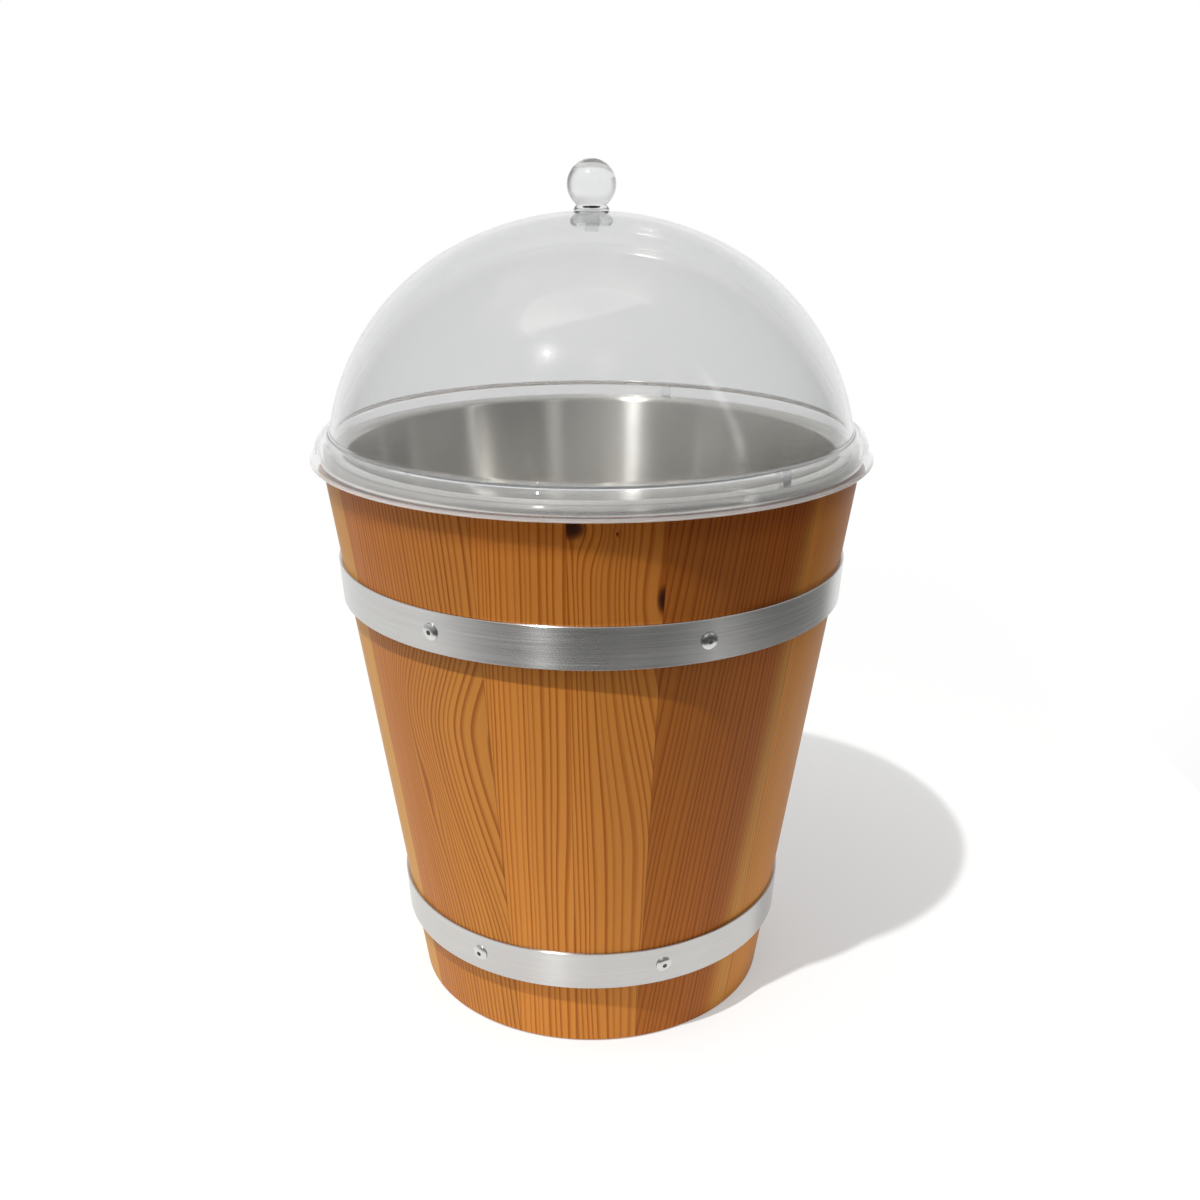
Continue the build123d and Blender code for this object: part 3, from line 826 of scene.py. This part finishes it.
def rivet_heads(name, node):
    """All the rivets of one hoop as one piece."""
    rivets = []
    for top, axis, reach in rivet_places(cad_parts[node]):
        brim = (RIVET_HEAD_RADIUS, RIVET_BRIM - RIVET_HEAD_HEIGHT)
        crown = sagitta_arc((MANDREL_RADIUS, 0), brim, RIVET_BULGE, 8)
        head = crown + [(RIVET_HEAD_RADIUS, -RIVET_HEAD_HEIGHT), (RIVET_RADIUS, -RIVET_HEAD_HEIGHT),
                        (RIVET_RADIUS, reach), (0, reach)]
        bore = [(0, -MANDREL_DEPTH), (MANDREL_RADIUS, -MANDREL_DEPTH)]
        vertices, faces = turned((bore + head)[::-1], RIVET_SEGMENTS, closed=False)
        turn = axis.to_track_quat("Z", "Y").to_matrix()
        rivets.append(([tuple(turn @ Vector(v) + top) for v in vertices], faces))
    dress(finished_mesh(name, joined(rivets), 40), node, "bucket", rivet_metal)


rivet_heads("upper_hoop_rivet_heads", "upper_hoop_rivets")
rivet_heads("lower_hoop_rivet_heads", "lower_hoop_rivets")


# Stage: a pale floor, a white backdrop behind the object and a darker room in front of it
FLOOR_LEFT = -1.3
FLOOR_RIGHT = 0.43
FLOOR_FRONT = -0.34
FLOOR_BACK = 1.6
FLOOR_FADE = 0.08
FLOOR_WHITE = 0.36
WHITEN_FROM = 0.13
WHITEN_TO = 0.9
WHITE = (1.0, 1.0, 1.0, 1.0)
FLOOR_COLOUR = (0.70, 0.70, 0.695, 1.0)
ROOM_LEVEL = 0.38
ROOM_SLOPE = (-0.16, 0.26, 0.46)
ROOM_DARKEST = 0.06
ROOM_STRIPS = ((66, 1.8, 1.5), (20, 3.0, 0.8), (5, 10.0, 0.22), (-68, 5.0, 0.2))  # angle, width, level
STRIP_FOOT = (0.05, 0.3)
STRIP_HEAD = (0.5, 0.8)
BACKDROP_SIDE = (0.55, 0.85)
BACKDROP_TOP = (0.2, 0.5)
KEY_POWER = 270
KEY_RADIUS = 0.025
KEY_PLACE = (-0.612, -0.965, 2.29)


def seen_rays(t):
    """1 for rays that show the background: to the camera, in reflections and through glass."""
    path = t.add("LightPath").outputs
    seen = t.maths("MAXIMUM", path["Is Camera Ray"], path["Is Glossy Ray"])
    return t.maths("MAXIMUM", seen, path["Is Transmission Ray"])


def make_floor():
    """A matt floor that fades to the background's white at its edges."""
    corners = [(FLOOR_LEFT, FLOOR_FRONT, 0), (FLOOR_RIGHT, FLOOR_FRONT, 0), (FLOOR_RIGHT, FLOOR_BACK, 0),
               (FLOOR_LEFT, FLOOR_BACK, 0)]
    floor = finished_mesh("floor", (corners, [(0, 1, 2, 3)]))
    material = bpy.data.materials.new("floor_white")
    t = Tree(material)
    xyz, _ = t.object_axes()
    across = t.maths("MINIMUM", t.maths("SUBTRACT", xyz[0], FLOOR_LEFT),
                     t.maths("SUBTRACT", FLOOR_RIGHT, xyz[0]))
    inner = t.step(t.maths("MINIMUM", across, t.maths("SUBTRACT", FLOOR_BACK, xyz[1])), 0.0, FLOOR_FADE)
    near = t.rest(t.step(t.length(xyz[0], xyz[1]), WHITEN_FROM, WHITEN_TO))
    whiten = t.maths("MULTIPLY_ADD", t.maths("MULTIPLY", inner, near), FLOOR_WHITE - 1.0, 1.0)
    pale = t.add("BsdfDiffuse", {"Color": FLOOR_COLOUR})
    white = t.add("Emission", {"Color": WHITE, "Strength": 1.0})
    share = t.maths("MULTIPLY", whiten, seen_rays(t))
    t.finish(t.add("MixShader", {0: share, 1: pale.outputs[0], 2: white.outputs[0]}).outputs[0])
    paint(floor, material)
    floor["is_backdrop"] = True


def make_world():
    """A white backdrop, and soft light from the room, stronger from the left, the back and above."""
    world = bpy.data.worlds.new("studio")
    bpy.context.scene.world = world
    t = Tree(world)
    direction = t.add("SeparateXYZ", {0: t.add("TexCoord").outputs["Generated"]}).outputs
    level = ROOM_LEVEL
    for value, slope in zip(direction, ROOM_SLOPE):
        level = t.maths("MULTIPLY_ADD", value, slope, level)
    level = t.maths("MAXIMUM", level, ROOM_DARKEST)
    azimuth = t.azimuth(direction)
    for strip_angle, strip_width, strip_level in ROOM_STRIPS:
        off = t.maths("SUBTRACT", azimuth, math.radians(strip_angle))
        off = t.maths("DIVIDE", off, math.radians(strip_width))
        strip = t.maths("EXPONENT", t.maths("MULTIPLY", t.maths("MULTIPLY", off, off), -0.5))
        strip = t.maths("MULTIPLY", strip, t.step(direction[2], *STRIP_FOOT))
        strip = t.maths("MULTIPLY", strip, t.rest(t.step(direction[2], *STRIP_HEAD)))
        level = t.maths("MULTIPLY_ADD", strip, strip_level, level)
    behind = t.maths("MULTIPLY", t.step(direction[1], *BACKDROP_SIDE),
                     t.rest(t.step(direction[2], *BACKDROP_TOP)))
    room = t.add("Background", {"Color": WHITE, "Strength": level})
    white = t.add("Background", {"Color": WHITE, "Strength": 1.0})
    shown = t.add("MixShader", {0: t.maths("MULTIPLY", behind, seen_rays(t)), 1: room.outputs[0],
                                2: white.outputs[0]})
    t.add("OutputWorld", {"Surface": shown.outputs[0]})


def make_key():
    """A small bright lamp in front, to the left and above."""
    lamp = bpy.data.lights.new("key", "POINT")
    lamp.energy = KEY_POWER
    lamp.shadow_soft_size = KEY_RADIUS
    key = bpy.data.objects.new("key", lamp)
    key.location = KEY_PLACE
    bpy.context.scene.collection.objects.link(key)


make_floor()
make_world()
make_key()

# Camera at the photograph's place: its frame is 1200 pixels wide
IMAGE_WIDTH = 1200
FOCAL_PIXELS = 1307
AXIS_PIXEL = 591.5
SENSOR = 36.0
CAMERA_PLACE = (0.0, -0.6499, 0.4274)
CAMERA_DOWN = 18.887
camera_data = bpy.data.cameras.new("camera")
camera_data.sensor_width = SENSOR
camera_data.lens = SENSOR * FOCAL_PIXELS / IMAGE_WIDTH
camera_data.shift_x = (IMAGE_WIDTH / 2 - AXIS_PIXEL) / IMAGE_WIDTH
camera_data.clip_start = 0.01
camera = bpy.data.objects.new("camera", camera_data)
camera.location = CAMERA_PLACE
camera.rotation_euler = (math.radians(90 - CAMERA_DOWN), 0.0, 0.0)
bpy.context.scene.collection.objects.link(camera)
bpy.context.scene.camera = camera
bpy.context.scene.view_settings.view_transform = "Standard"

boxes = {"cad": cad_bounds, "visual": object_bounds()}
{name: [list(corner) for corner in box] for name, box in boxes.items()}
